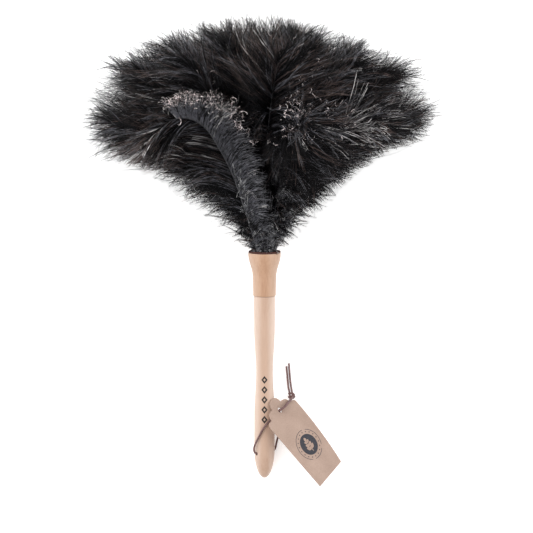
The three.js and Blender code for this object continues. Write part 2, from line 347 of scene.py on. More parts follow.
def handle_outline(butt_steps=24, grip_steps=64):
    """Radius and height along the handle: the round butt, the waist and the neck."""
    turn = np.linspace(0, math.pi / 2, butt_steps, endpoint=False)
    butt = np.stack([GRIP_RADIUS * np.sin(turn), BUTT_LENGTH * (1 - np.cos(turn))], axis=1)
    grip = spline([
        (GRIP_RADIUS, BUTT_LENGTH),
        (9.0 * MM, 42 * MM),
        (8.75 * MM, 64 * MM),
        (7.7 * MM, 83 * MM),
        (7.43 * MM, 96 * MM),
        (8.1 * MM, 110 * MM),
        (9.1 * MM, 129 * MM),
        (NECK_RADIUS, HANDLE_LENGTH),
    ], grip_steps)
    return np.concatenate([butt, grip])


HANDLE_OUTLINE = handle_outline()
# The axis starts as high as lets the leaning butt rest on the table.
BUTT_HEIGHT = max(r * math.cos(LEAN) - s * math.sin(LEAN) for r, s in HANDLE_OUTLINE)
AXIS_FOOT = Vector(FOOT + (0, 0, BUTT_HEIGHT))
WOODWORK = Matrix.Translation(AXIS_FOOT) @ Matrix.Rotation(LEAN, 4, "X")


def grid_faces(strips, rings, sides):
    """Quads of strips between neighbouring rings of points, the last back to the first."""
    faces = []
    for ring in range(strips):
        this, above = ring * sides, (ring + 1) % rings * sides
        for side in range(sides):
            beside = (side + 1) % sides
            faces.append((this + side, above + side, above + beside, this + beside))
    return faces


def tidy_mesh(mesh, merge=None):
    """Merges points that meet, if asked, and turns all faces outwards."""
    made = bmesh.new()
    made.from_mesh(mesh)
    if merge:
        bmesh.ops.remove_doubles(made, verts=made.verts, dist=merge)
    bmesh.ops.recalc_face_normals(made, faces=made.faces)
    made.to_mesh(mesh)
    made.free()


def turned(name, outline, sides=96):
    """A solid turned about the duster's axis, from an outline of (radius, place along)."""
    outline = np.array(outline)
    closed = outline[0][0] > 1e-6
    rings = len(outline)
    turn = np.linspace(0, 2 * math.pi, sides, endpoint=False)
    r, s = outline.T[:, :, None]
    points = np.stack([r * np.cos(turn), s + 0 * turn, r * np.sin(turn)], axis=2).reshape(-1, 3)
    mesh = bpy.data.meshes.new(name)
    mesh.from_pydata(points.tolist(), [], grid_faces(rings if closed else rings - 1, rings, sides))
    mesh.transform(WOODWORK)
    tidy_mesh(mesh, merge=1e-6)
    mesh.shade_smooth()
    mesh.set_sharp_from_angle(angle=math.radians(40))
    return add_object(name, mesh)


def drill_for_cord():
    """The cylinder that cuts the cord's cross hole."""
    bpy.ops.mesh.primitive_cylinder_add(vertices=48, radius=CORD_HOLE_RADIUS, depth=60 * MM)
    drill = bpy.context.object
    across = Vector((math.cos(CORD_HOLE_TURN), 0, math.sin(CORD_HOLE_TURN)))
    turn = across.to_track_quat("Z", "Y").to_matrix().to_4x4()
    drill.data.transform(WOODWORK @ Matrix.Translation((0, CORD_HOLE_AT, 0)) @ turn)
    return drill


def make_handle(material):
    """Turned handle with its tenon, a blind socket for the dowel and the cross hole."""
    tenon_top = HANDLE_LENGTH + TENON_LENGTH
    socket_foot = HANDLE_LENGTH - 5 * MM
    tenon = [
        (TENON_RADIUS, HANDLE_LENGTH),
        (TENON_RADIUS, tenon_top),
        (SOCKET_RADIUS, tenon_top),
        (SOCKET_RADIUS, socket_foot),
        (0, socket_foot),
    ]
    handle = turned("turned_handle", np.concatenate([HANDLE_OUTLINE, tenon]))
    drill = drill_for_cord()
    cut = handle.modifiers.new("cord_hole", "BOOLEAN")
    cut.object = drill
    cut.operation = "DIFFERENCE"
    cut.solver = "EXACT"
    bpy.context.view_layer.objects.active = handle
    handle.select_set(True)
    bpy.ops.object.modifier_apply(modifier=cut.name)
    bpy.data.objects.remove(drill)
    place_piece(handle, [material], "beech", "handle")


def make_collar(material):
    """Turned collar: a sleeve over the tenon, flared to a rim and hollow round the quills."""
    seat = HANDLE_LENGTH + SEAM_GAP
    ceiling = HANDLE_LENGTH + TENON_LENGTH + SEAM_GAP
    bore = TENON_RADIUS + SEAM_GAP
    sleeve = [
        (bore, seat),
        (COLLAR_RADIUS - 0.3 * MM, seat),
        (COLLAR_RADIUS - 0.05 * MM, seat + 0.2 * MM),
        (COLLAR_RADIUS, seat + 0.5 * MM),
    ]
    flare = bezier([
        (COLLAR_RADIUS + 0.3 * MM, RIM_AT - 21 * MM),
        (COLLAR_RADIUS + 0.7 * MM, RIM_AT - 12 * MM),
        (RIM_RADIUS - 0.45 * MM, RIM_AT - 10 * MM),
        (RIM_RADIUS, RIM_AT),
    ], 24)
    lip = [
        (RIM_RADIUS - 0.15 * MM, RIM_AT + 0.25 * MM),
        (RIM_RADIUS - 0.45 * MM, RIM_AT + 0.35 * MM),
        (RIM_RADIUS - 0.85 * MM, RIM_AT + 0.3 * MM),
    ]
    mouth = bezier([
        (RIM_RADIUS - 1.2 * MM, RIM_AT),
        (COLLAR_RADIUS + 2.2 * MM, RIM_AT - 9 * MM),
        (COLLAR_RADIUS + 0.2 * MM, RIM_AT - 10 * MM),
        (COLLAR_RADIUS - 0.8 * MM, RIM_AT - 16.5 * MM),
    ], 16)
    bottom = [(COLLAR_RADIUS - 1.8 * MM, ceiling), (bore, ceiling)]
    collar = turned("turned_collar", np.concatenate([sleeve, flare[:-1], lip, mouth, bottom]))
    place_piece(collar, [material], "dark_beech", "collar")


def make_rim_felt(material, rng):
    """A thin, uneven felt ring around the quills at the collar's rim."""
    sides, rows = 160, 10
    turn = np.linspace(0, 2 * math.pi, sides, endpoint=False)
    wave = 0
    for k in range(2, 30):
        wave = wave + rng.uniform(0.2, 1.0) / k * np.sin(k * turn + rng.uniform(0, 2 * math.pi))
    wave = wave / np.abs(wave).max()
    fuzz_out, fuzz_up = np.swapaxes(rng.normal(0, 0.05 * MM, (rows, 2, sides)), 0, 1)
    across = 2 * math.pi * np.arange(rows)[:, None] / rows
    radius = RIM_RADIUS + (-1.1 + 0.85 * np.cos(across) + 0.18 * wave) * MM + fuzz_out
    height = RIM_AT + (1.2 + (0.75 + 0.3 * wave) * np.sin(across)) * MM + fuzz_up
    points = np.stack([radius * np.cos(turn), height, radius * np.sin(turn)], axis=-1).reshape(-1, 3)
    mesh = bpy.data.meshes.new("felt_ring")
    mesh.from_pydata(points.tolist(), [], grid_faces(rows, rows, sides))
    mesh.transform(WOODWORK)
    mesh.shade_smooth()
    place_piece(add_object("felt_ring", mesh), [material], "felt", "rim_felt")


# ---------- Plume ----------
# The tiers of feathers as in the CAD model, innermost first: millimetres and degrees.
TIERS = {
    "inner": dict(count=5, circle=3.3, start=172, lean=15, length=212, first=90, spacing=72),
    "upper": dict(count=8, circle=5.1, start=176, lean=37, length=220, first=67, spacing=45),
    "middle": dict(count=11, circle=6.9, start=180, lean=56, length=230, first=118.6, spacing=360 / 11),
    "outer": dict(count=13, circle=8.9, start=187, lean=75, length=203, first=133, spacing=25.3),
}
SHOW_FEATHER = ("outer", 0)
SHOW_FEATHER_LEAN = 64
SHAFT_STEPS = 60
SHAFT_RADII = (0.9 * MM, 0.2 * MM)
SHAFT_SWAY = 6 * MM
SHAFT_ENDS = (0.78, 0.9)

# Plan measures are millimetres right of and above the rim's centre, as the camera sees them.
RIM_CENTRE = FOOT + np.array([0, RIM_AT * math.cos(LEAN), 0])
PLUME_HEART = (0, 110)
FAN_CENTRE = (0, 140)
PLUME_OUTLINE = np.array([
    (31, 201), (67, 190), (97, 179), (119, 171), (140, 165), (152, 145), (153, 130), (143, 108),
    (130, 95), (106, 92), (94, 84), (72, 69), (60, 54), (49, 40), (31, 22), (23, 7), (0, 0), (-23, 7),
    (-30, 18), (-49, 36), (-70, 48), (-88, 67), (-114, 75), (-151, 80), (-155, 113), (-157, 143),
    (-144, 163), (-118, 179), (-97, 187), (-74, 194), (-43, 200), (0, 206),
])
SHOW_SHAFT = [
    (-6.5, -3), (-8, 8), (-17, 37), (-29, 71), (-43.5, 98), (-51.5, 109), (-61, 116), (-72, 118.5),
    (-84, 116.5),
]
# It takes its heights from this share of the CAD shaft, and its blade tilts to the right.
SHOW_SHAFT_SHARE = 0.8
SHOW_BLADE_TILT = 0.25
# Other feathers pass under it between these limits, beside its shaft and up the plume.
TUCK_LEFT = (-105, -80)
TUCK_RIGHT = (26, 38)
TUCK_BOTTOM = (12, 45)
TUCK_TOP = (138, 156)
TUCK_DROP = 6
TUCK_SLOPE = 0.3

# Barbs grow in clumps.
BARB_STEPS = 8
BARB_SIDES = 3
CLUMP = 3
BARB_DENSITY = 1.0
BARB_THICKENING = 1.0
# Clumps end at this share of the way to the plume's outline, or within a fringe beyond it.
EDGE_START = 0.77
EDGE_FRINGE = 0.29
LEAST_KEPT = 0.12
# Barbs settle onto the table and under the plume's dome.
TABLE_CLEARANCE = 0.5 * MM
TABLE_EASE = 2 * MM
DOME_FROM = 105 * MM
DOME_TOP = 148 * MM

# Slots of every feather's mesh. The pale slot holds painted highlights and the sheen slot painted sheen.
SHAFT, BLACK, BROWN, SLATE, SHEEN, PALE_GLINT, DOWN = range(7)

# How the clumps of barbs are shared out between the slots.
CLUMP_SHARES = {BLACK: 0.74, SLATE: 0.15, BROWN: 0.10, SHEEN: 0.01}
DOWN_SHARES = {BLACK: 0.32, SLATE: 0.23, DOWN: 0.45}
BLADE_SHARES = {SLATE: 0.94, BLACK: 0.04, SHEEN: 0.02}
SWEEP_SHARES = {BLACK: 0.70, SLATE: 0.18, BROWN: 0.11, SHEEN: 0.01}
# Where more barbs are in one slot: plan place, reach, share of the clumps there, and the slot. The black
# patches at (6, 98) and (38, 58) are painted shade in the plume's hollows, the sheen patches painted
# highlights, the brown and slate patches tones of the barbs.
TINT_SHADE_AND_SHEEN_PATCHES = [
    ((26, 150), 15, 0.6, BROWN),
    ((50, 140), 22, 0.5, BROWN),
    ((-5, 160), 25, 0.35, BROWN),
    ((6, 98), 15, 0.9, BLACK),
    ((-20, 136), 15, 0.85, BLACK),
    ((38, 58), 26, 0.6, BLACK),
    ((84, 112), 13, 0.45, SHEEN),
    ((-100, 85), 30, 0.35, BROWN),
    ((-110, 78), 26, 0.08, SHEEN),
    ((20, 126), 20, 0.2, SLATE),
    ((-70, 165), 20, 0.35, SLATE),
]
# Where barbs above a height carry pale curls, which are painted highlights: plan place, reach and share.
CURLS_ABOVE = (50 * MM, 85 * MM)
CURL_PATCHES = [
    ((18, 125), 19, 0.7), ((66, 122), 14, 0.15), ((-45, 150), 14, 0.1), ((40, 155), 25, 0.03),
]


def unit(v):
    """Vectors made one long."""
    return v / np.maximum(np.linalg.norm(v, axis=-1, keepdims=True), 1e-9)


def centre_line(tier):
    """Radius and height on the axis of a feather's shaft, from its bend's start to its tip."""
    along = (np.arange(SHAFT_STEPS) + 0.5) / SHAFT_STEPS
    lean = math.radians(tier["lean"]) * along ** BEND_POWER
    step = tier["length"] * MM / SHAFT_STEPS
    radius = tier["circle"] * MM + np.concatenate([[0], np.cumsum(step * np.sin(lean))])
    height = BEND_AT + np.concatenate([[0], np.cumsum(step * np.cos(lean))])
    return radius, height


def settle(radius, azimuth, height):
    """From the round plume to the one that has settled on the table, as in the CAD model."""
    settled = smoothstep(height, RIM_AT, RIM_AT + SETTLE_LENGTH)
    across = radius * np.cos(azimuth)
    up = radius * np.sin(azimuth)
    depth = LOWER_PRESS * (BUTT_HEIGHT + height * math.sin(LEAN)) / math.cos(LEAN)
    pressed = np.where(up > 0, UPPER_HEIGHT * up, depth * np.tanh(up / LOWER_REACH))
    spread = np.where(across > 0, RIGHT_SPREAD * across, across)
    x = across + (spread - across) * settled
    rise = up + (pressed - up) * settled
    y = height * math.cos(LEAN) - rise * math.sin(LEAN)
    z = BUTT_HEIGHT + height * math.sin(LEAN) + rise * math.cos(LEAN)
    return np.stack([x, y, z], axis=-1) + FOOT


def shaft_frame(tier, azimuth):
    """A feather's shaft: its points, and its directions forward, sideways and outward."""
    radius, height = centre_line(tier)
    points = settle(radius, azimuth, height)
    forward = unit(np.gradient(points, axis=0))
    small = 0.01
    side = settle(radius, azimuth + small, height) - settle(radius, azimuth - small, height)
    side = unit(side - forward * np.sum(side * forward, axis=1, keepdims=True))
    outward = np.cross(side, forward)
    trend = settle(radius + 1 * MM, azimuth, height) - points
    outward *= np.sign(np.sum(outward * trend, axis=1, keepdims=True))
    return points, forward, side, outward


def seen_plan(points):
    """Plan places of points from the rim's centre, in millimetres, as the camera sees them."""
    nearer = CAMERA_DISTANCE / (CAMERA_DISTANCE - (points[..., 2:] - VIEW_CENTRE[2]))
    seen = VIEW_CENTRE[:2] + (points[..., :2] - VIEW_CENTRE[:2]) * nearer
    return (seen - RIM_CENTRE[:2]) / MM


def polar(plan):
    """Angle and reach of plan places round the plume's heart."""
    away = plan - PLUME_HEART
    return np.arctan2(away[..., 1], away[..., 0]), np.hypot(away[..., 0], away[..., 1])


def outline_share(points):
    """How far out points are: 0 at the plume's heart, 1 on its outline."""
    edge_angle, edge_reach = polar(PLUME_OUTLINE)
    angle, reach = polar(seen_plan(points))
    return reach / np.interp(angle, edge_angle, edge_reach, period=2 * math.pi)


def patch_share(points, patches):
    """Largest share of the round patches at each point, fading from their centres."""
    plan, shares = seen_plan(points), []
    for place, reach, share in patches:
        apart = np.linalg.norm(plan - place, axis=-1)
        shares.append(share * np.exp(-(apart / reach) ** 2))
    return np.max(shares, axis=0)


def sample(rows, t):
    """Rows of a shaft table at places t from 0 to 1, linearly between them."""
    x = np.clip(t, 0, 1) * (len(rows) - 1)
    i = np.minimum(x.astype(int), len(rows) - 2)
    w = (x - i)[:, None]
    return rows[i] * (1 - w) + rows[i + 1] * w


def tubes(paths, radii):
    """Closed thin tubes along many paths: vertices, quads and caps."""
    count, steps = paths.shape[:2]
    forward = unit(np.gradient(paths, axis=1))
    side = unit(np.cross(forward, (0.31, 0.17, 0.93)))
    lift = np.cross(side, forward)
    turn = 2 * math.pi * np.arange(BARB_SIDES) / BARB_SIDES
    ring = side[:, :, None] * np.cos(turn)[:, None] + lift[:, :, None] * np.sin(turn)[:, None]
    vertices = (paths[:, :, None] + ring * radii[:, :, None, None]).reshape(-1, 3)
    index = np.arange(count * steps * BARB_SIDES).reshape(count, steps, BARB_SIDES)
    a, b = index[:, :-1], index[:, 1:]
    quads = np.stack([a, np.roll(a, -1, axis=2), np.roll(b, -1, axis=2), b], axis=-1).reshape(-1, 4)
    caps = np.concatenate([index[:, 0, ::-1], index[:, -1]]).reshape(-1, BARB_SIDES)
    return vertices, quads, caps


def strand_mesh(name, groups):
    """One mesh from groups of (paths, radii, slots), with the barb map as its UVs."""
    vertices, corners, sizes, slots, uvs = [], [], [], [], []
    offset = before = 0
    whole = sum(len(paths) for paths, _, _ in groups)
    for paths, radii, slot in groups:
        count, steps = paths.shape[:2]
        points, quads, caps = tubes(paths, radii)
        u = (before + np.arange(count)[:, None, None] + np.linspace(0.2, 0.8, BARB_SIDES)) / whole
        v = np.linspace(0.01, 0.99, steps)[None, :, None]
        place = np.stack(np.broadcast_arrays(u, v), axis=-1).reshape(-1, 2)
        point_slots = np.repeat(np.broadcast_to(slot, count), steps * BARB_SIDES)
        for faces in (quads, caps):
            corners.append(faces.ravel() + offset)
            uvs.append(place[faces.ravel()])
            sizes.append(np.full(len(faces), faces.shape[1]))
            slots.append(point_slots[faces[:, 0]])
        vertices.append(points)
        offset += len(points)
        before += count
    sizes, corners = np.concatenate(sizes), np.concatenate(corners)
    mesh = bpy.data.meshes.new(name)
    mesh.vertices.add(offset)
    mesh.vertices.foreach_set("co", np.concatenate(vertices).astype(np.float32).ravel())
    mesh.loops.add(len(corners))
    mesh.loops.foreach_set("vertex_index", corners.astype(np.int32))
    mesh.polygons.add(len(sizes))
    mesh.polygons.foreach_set("loop_start", (np.cumsum(sizes) - sizes).astype(np.int32))
    mesh.polygons.foreach_set("material_index", np.concatenate(slots).astype(np.int32))
    mesh.update(calc_edges=True)
    mesh.shade_smooth()
    layer = mesh.uv_layers.new(name=BARB_MAP)
    layer.uv.foreach_set("vector", np.concatenate(uvs).astype(np.float32).ravel())
    return mesh


def within_plume(points):
    """Puts points below the table on it, and bows down those that would stand too high."""
    height = points[..., 2]
    lying = TABLE_CLEARANCE + TABLE_EASE * np.logaddexp(0, (height - TABLE_CLEARANCE) / TABLE_EASE)
    room = DOME_TOP - DOME_FROM
    bowed = DOME_FROM + room * np.tanh((height - DOME_FROM) / room)
    points[..., 2] = np.where(height < DOME_FROM, lying, bowed)
    return points


def per_barb(values):
    """Values of clumps, given to each of their barbs."""
    return np.repeat(values, CLUMP, axis=0)


def trim(paths, rng):
    """Shortens clumps that would pass the plume's outline, to a ragged, thinning edge."""
    edge = per_barb(EDGE_START + EDGE_FRINGE * rng.uniform(0, 1, len(paths) // CLUMP) ** 1.5)
    inside, reached = outline_share(paths[:, 0]), outline_share(paths[:, -1])
    keep = np.clip((edge - inside) / np.maximum(reached - inside, 1e-6), LEAST_KEPT, 1)
    keep = np.where(reached > edge, keep, 1)
    return paths[:, :1] + (paths - paths[:, :1]) * keep[:, None, None]


def barbs(
    shaft, rng, clumps, reach, along=(0.01, 1.0), hands=(1, -1), angle=(58, 34), fluff=0.4, ahead=0.6,
    droop=0.2, spread=0.45, radial=0.3, stray=0.25, early=1.0, curl=0.22, wave=1.5, gather=0.85,
    width=0.34, base=0.2, taper=(0.35, 0.7),
):
    """Clumps of barbs along a shaft, as smooth paths from the shaft to their tips, with their radii.

    along, hands: the stretch and the sides that carry them. reach, base, taper: their longest length,
    its share at the quill, and how much is lost from where on. angle, fluff: how they open at quill
    and tip, and leave the vane's plane. ahead, spread, radial, droop, stray: how much their ends turn
    to the tip, to the side, out from the fan's centre, down and anywhere, and early: how soon.
    curl, wave: bend and ripple. gather: how far a clump closes. width: thickness in millimetres.
    """
    clumps = int(clumps * BARB_DENSITY)
    count = clumps * CLUMP
    # Where the barbs leave the shaft, and which way.
    place = (np.arange(clumps) + rng.uniform(0, 1, clumps)) / clumps
    t = per_barb(along[0] + (along[1] - along[0]) * place ** 0.8) + rng.normal(0, 0.004, count)
    hand = per_barb(np.resize(hands, clumps))[:, None]
    root, forward, side, outward = (sample(rows, t) for rows in shaft)
    opening = np.radians(angle[0] + (angle[1] - angle[0]) * np.clip(t, 0, 1))[:, None]
    lift = (per_barb(rng.normal(0, fluff, clumps)) + rng.normal(0, fluff * 0.25, count))[:, None]
    away = unit(side * hand * np.cos(lift) + outward * np.sin(lift))
    start = unit(forward * np.cos(opening) + away * np.sin(opening))
    wander = per_barb(rng.normal(0, 1, (clumps, 3))) + 0.25 * rng.normal(0, 1, (count, 3))
    # How long they are, and where their ends point.
    swell = base + (1 - base) * smoothstep(t, 0, 0.45)
    thinned = 1 - taper[0] * smoothstep(t, taper[1], 1.0)
    vary = per_barb(rng.uniform(0.75, 1.1, clumps)) * rng.uniform(0.8, 1.05, count)
    length = (reach * swell * thinned * vary)[:, None]
    midway = root + 0.6 * length * start
    fan = unit(np.pad(seen_plan(midway) - FAN_CENTRE, ((0, 0), (0, 1))))
    end = ahead * sample(shaft[1], t + 0.25) + spread * away + radial * fan - (0, 0, droop)
    end = unit(end + stray * wander)
    # The paths, bent and rippled clump by clump, and drawn together towards their tips.
    u = np.linspace(0, 1, BARB_STEPS)[None, :, None]
    bend = per_barb(unit(rng.normal(0, 1, (clumps, 3))))
    first = (1 - (1 - u) ** (early + 1)) / (early + 1)
    path = start[:, None] * first + end[:, None] * (u - first) + curl * bend[:, None] * u ** 3
    path = root[:, None] + length[:, None] * path
    phase = per_barb(rng.uniform(0, 2 * math.pi, clumps))[:, None, None]
    ripple = np.sin(u * 9 + phase) * per_barb(rng.uniform(0.3, 1, clumps))[:, None, None]
    path = path + wave * MM * u * ripple * np.cross(start, bend)[:, None]
    centre = per_barb(path.reshape(clumps, CLUMP, BARB_STEPS, 3).mean(axis=1))
    path = path + (centre - path) * gather * u ** 0.8
    path = trim(path, rng)
    radii = width / 2 * BARB_THICKENING * MM * (1 - 0.6 * np.linspace(0, 1, BARB_STEPS) ** 2)
    return within_plume(path), radii * rng.uniform(0.7, 1.2, (count, 1))


def curls(roots, directions, rng, size=2.3, width=0.4):
    """Short curled tips: arcs of a fifth to two thirds of a turn."""
    count = len(roots)
    ahead = unit(directions + 0.5 * rng.normal(0, 1, (count, 3)))[:, None]
    across = unit(np.cross(ahead, rng.normal(0, 1, (count, 1, 3))))
    radius = (size * MM * rng.uniform(0.5, 1.3, count))[:, None, None]
    turn = (np.linspace(0, 1, BARB_STEPS) * rng.uniform(1.2, 4.2, (count, 1)))[:, :, None]
    arc = np.sin(turn) * ahead + (1 - np.cos(turn)) * across + 0.4 * turn * ahead
    radii = width * np.linspace(0.5, 0.25, BARB_STEPS) * MM * rng.uniform(0.6, 1.3, (count, 1))
    return within_plume(roots[:, None] + radius * arc), radii


def tinted(group, rng, shares=CLUMP_SHARES):
    """Barbs with their slots, clump by clump: by the shares, and by the patches of tint, painted shade and
    painted sheen.
    """
    middle = group[0][::CLUMP, BARB_STEPS * 2 // 3]
    clumps = len(middle)
    slots = rng.choice(list(shares), clumps, p=list(shares.values()))
    for place, reach, share, slot in TINT_SHADE_AND_SHEEN_PATCHES:
        chosen = rng.uniform(0, 1, clumps) < patch_share(middle, [(place, reach, share)])
        slots = np.where(chosen, slot, slots)
    return (*group, per_barb(slots))


def glint_curls(group, rng, step):
    """Pale curls, painted highlights, at one step of the barbs in the curl patches, on the plume's upper
    side.
    """
    places = group[0][:, step]
    high = smoothstep(places[:, 2], *CURLS_ABOVE)
    chosen = rng.uniform(0, 1, len(places)) < high * patch_share(places, CURL_PATCHES)
    ahead = unit(places - group[0][:, step - 2])
    return (*curls(places[chosen], ahead[chosen], rng), PALE_GLINT)


def shaft_tube(points, tier, azimuth):
    """The shaft itself, with its quill down into the collar."""
    quill = settle(np.array([tier["circle"] * MM]), azimuth, np.array([tier["start"] * MM]))
    path = np.concatenate([quill, points])[None]
    radii = np.linspace(*SHAFT_RADII, path.shape[1])[None]
    radii[0, :3] = QUILL_RADIUS
    return within_plume(path), radii


def sway_and_cut(shaft, rng):
    """A shaft bent a little to one side, and cut off close to the plume's outline."""
    points, forward, side, outward = shaft
    t = np.linspace(0, 1, len(points))[:, None]
    points = points + side * SHAFT_SWAY * rng.uniform(-1, 1) * np.sin(math.pi * 1.3 * t) * t
    outside = np.nonzero(outline_share(points) > rng.uniform(*SHAFT_ENDS))[0]
    late = outside[outside > SHAFT_STEPS // 3]
    last = late[0] if len(late) else len(points)
    return tuple(rows[:last] for rows in (points, forward, side, outward))


def tuck_under_show_feather(paths, show_points):
    """Moves the paths of another feather beneath the show feather's blade."""
    show_points = show_points[::4]
    plan, blade = seen_plan(paths), seen_plan(show_points)
    apart = np.linalg.norm(plan[..., None, :] - blade, axis=-1)
    nearest = apart.argmin(axis=-1)
    beside = plan[..., 0] - blade[nearest][..., 0]
    low = show_points[nearest][..., 2] - (TUCK_DROP + TUCK_SLOPE * apart.min(axis=-1)) * MM
    across = smoothstep(beside, *TUCK_LEFT) * (1 - smoothstep(beside, *TUCK_RIGHT))
    upward = smoothstep(plan[..., 1], *TUCK_BOTTOM) * (1 - smoothstep(plan[..., 1], *TUCK_TOP))
    height = paths[..., 2]
    paths[..., 2] = np.where(height > low, height + (low - height) * across * upward, height)


def feather_shape(tier_name, index):
    """The tier settings of one feather and its azimuth."""
    tier = dict(TIERS[tier_name])
    if (tier_name, index) == SHOW_FEATHER:
        tier["lean"] = SHOW_FEATHER_LEAN
    return tier, math.radians(tier["first"] + tier["spacing"] * index)


def show_shaft():
    """The show feather's shaft: the drawn line at the CAD shaft's heights."""
    cad_height = shaft_frame(*feather_shape(*SHOW_FEATHER))[0][:, 2]
    line = spline(SHOW_SHAFT, SHAFT_STEPS)
    reach = np.linspace(0, SHOW_SHAFT_SHARE, len(line)) * SHAFT_STEPS
    height = np.interp(reach, np.arange(len(cad_height)), cad_height)
    nearer = (CAMERA_DISTANCE - (height - VIEW_CENTRE[2])) / CAMERA_DISTANCE
    seen = line * MM + RIM_CENTRE[:2]
    plan = VIEW_CENTRE[:2] + (seen - VIEW_CENTRE[:2]) * nearer[:, None]
    points = np.concatenate([plan, height[:, None]], axis=1)
    forward = unit(np.gradient(points, axis=0))
    side = -unit(unit(np.cross(forward, (0, 0, 1))) + (0, 0, SHOW_BLADE_TILT))
    return points, forward, side, np.cross(side, forward)


def show_feather_groups(shaft, rng):
    """A smooth slate blade with curled tips on the right, long sweeping barbs on the left."""
    right, left = (-1,), (1,)
    blade = barbs(
        shaft, rng, 400, 43 * MM, along=(0.03, 0.92), hands=right, angle=(38, 50), fluff=0.05,
        ahead=-0.15, droop=0.1, spread=0.9, curl=0.03, wave=0.3, gather=0.1, width=0.6, base=0.5,
        taper=(0.6, 0.35),
    )
    sweep = barbs(
        shaft, rng, 450, 105 * MM, along=(0.04, 0.82), hands=left, angle=(36, 42), fluff=0.08,
        ahead=0.15, droop=0.15, spread=1.0, curl=0.05, wave=0.9, gather=0.6, width=0.44, base=0.35,
    )
    head = barbs(
        shaft, rng, 190, 70 * MM, along=(0.72, 1.0), hands=left, angle=(45, 20), fluff=0.12,
        ahead=0.9, droop=0.15, spread=0.55, curl=0.08, wave=1.2, gather=0.6, width=0.44,
    )
    down = barbs(
        shaft, rng, 150, 18 * MM, along=(0.0, 0.35), hands=right, fluff=0.5, curl=0.6, wave=2.0,
        gather=0.5, width=0.24, base=0.5,
    )
    tips = blade[0][:, -1]
    ahead = unit(tips - blade[0][:, -3])
    place = np.arange(len(tips)) / len(tips)
    chosen = rng.uniform(0, 1, len(tips)) < 0.95 * smoothstep(place, 0.25, 0.5)
    edge = curls(tips[chosen], ahead[chosen], rng, size=2.6, width=0.42)
    shares = (BLADE_SHARES, SWEEP_SHARES, SWEEP_SHARES, DOWN_SHARES)
    groups = [tinted(group, rng, own) for group, own in zip((blade, sweep, head, down), shares)]
    # The blade's edge curls: painted highlights in the pale and sheen slots, mixed with brown ones.
    edge_slots = rng.choice([PALE_GLINT, BROWN, SHEEN], len(edge[0]), p=[0.42, 0.38, 0.2])
    return [*groups, (*edge, edge_slots)]


def plain_feather_groups(shaft, rng, show_points):
    """Main barbs, fine long ones, down at the foot, and pale curls, painted highlights, in the curl
    patches.
    """
    main = barbs(
        shaft, rng, 440, 66 * MM, angle=(52, 28), fluff=0.55, ahead=0.4, spread=0.4, radial=0.7,
        stray=0.2, early=1.2, curl=0.2, gather=0.55, width=0.42,
    )
    fine = barbs(
        shaft, rng, 240, 80 * MM, along=(0.35, 1.0), fluff=0.55, ahead=0.35, radial=0.9, early=1.2,
        curl=0.28, wave=2.0, gather=0.3, width=0.33,
    )
    down = barbs(
        shaft, rng, 190, 24 * MM, along=(0.0, 0.4), fluff=0.9, curl=0.5, wave=2.0, gather=0.5,
        width=0.24, base=0.42,
    )
    for group in (main, fine, down):
        tuck_under_show_feather(group[0], show_points)
    groups = [tinted(main, rng), tinted(fine, rng), tinted(down, rng, DOWN_SHARES)]
    for step in (BARB_STEPS // 2, BARB_STEPS - 1):
        curled = glint_curls(main, rng, step)
        if len(curled[0]):
            groups.append(curled)
    return groups


def make_feather(tier_name, index, materials, seed, show_points):
    """One feather as one mesh: its shaft and all its barbs."""
    rng = np.random.default_rng(seed)
    tier, azimuth = feather_shape(tier_name, index)
    is_show = (tier_name, index) == SHOW_FEATHER
    shaft = show_shaft() if is_show else sway_and_cut(shaft_frame(tier, azimuth), rng)
    stem, radii = shaft_tube(shaft[0], tier, azimuth)
    if is_show:
        groups = show_feather_groups(shaft, rng)
    else:
        tuck_under_show_feather(stem, show_points)
        groups = plain_feather_groups(shaft, rng, show_points)
    label = f"feather_{tier_name}_{index + 1:02d}"
    name = f"plume_{label}"
    feather = add_object(name, strand_mesh(name, [(stem, radii, SHAFT), *groups]))
    place_piece(feather, materials, "feather", label)


# In slot order, each kind of barb: colours at root, middle and tip, roughness and shine. The sheen and pale
# kinds are painted highlights.
BARB_TONES = {
    "black": ((0.001, 0.001, 0.0015), (0.003, 0.003, 0.0035), (0.006, 0.0055, 0.006), 0.45, 0.07),
    "brown": ((0.006, 0.004, 0.004), (0.024, 0.017, 0.016), (0.07, 0.052, 0.047), 0.45, 0.2),
    "slate": ((0.022, 0.022, 0.026), (0.05, 0.05, 0.059), (0.09, 0.09, 0.098), 0.42, 0.4),
    "sheen": ((0.04, 0.039, 0.04), (0.22, 0.212, 0.21), (0.44, 0.425, 0.42), 0.35, 0.6),
    "pale": ((0.3, 0.24, 0.24), (0.8, 0.7, 0.69), (0.95, 0.9, 0.9), 0.3, 0.6),
    "down": ((0.05, 0.05, 0.054), (0.14, 0.14, 0.146), (0.42, 0.42, 0.425), 0.55, 0.3),
}


def make_plume():
    """All feathers of all tiers, each with its own seed."""
    horn = noisy_material("shaft_horn", (0.03, 0.03, 0.034), (0.13, 0.13, 0.14), 300, 0.35, relief=0)
    kinds = [barb_material(f"barbs_{name}", *tone) for name, tone in BARB_TONES.items()]
    show_points = show_shaft()[0]
    shapes = [(name, index) for name, tier in TIERS.items() for index in range(tier["count"])]
    for seed, shape in enumerate(shapes, PLUME_SEED):
        make_feather(*shape, (horn, *kinds), seed, show_points)


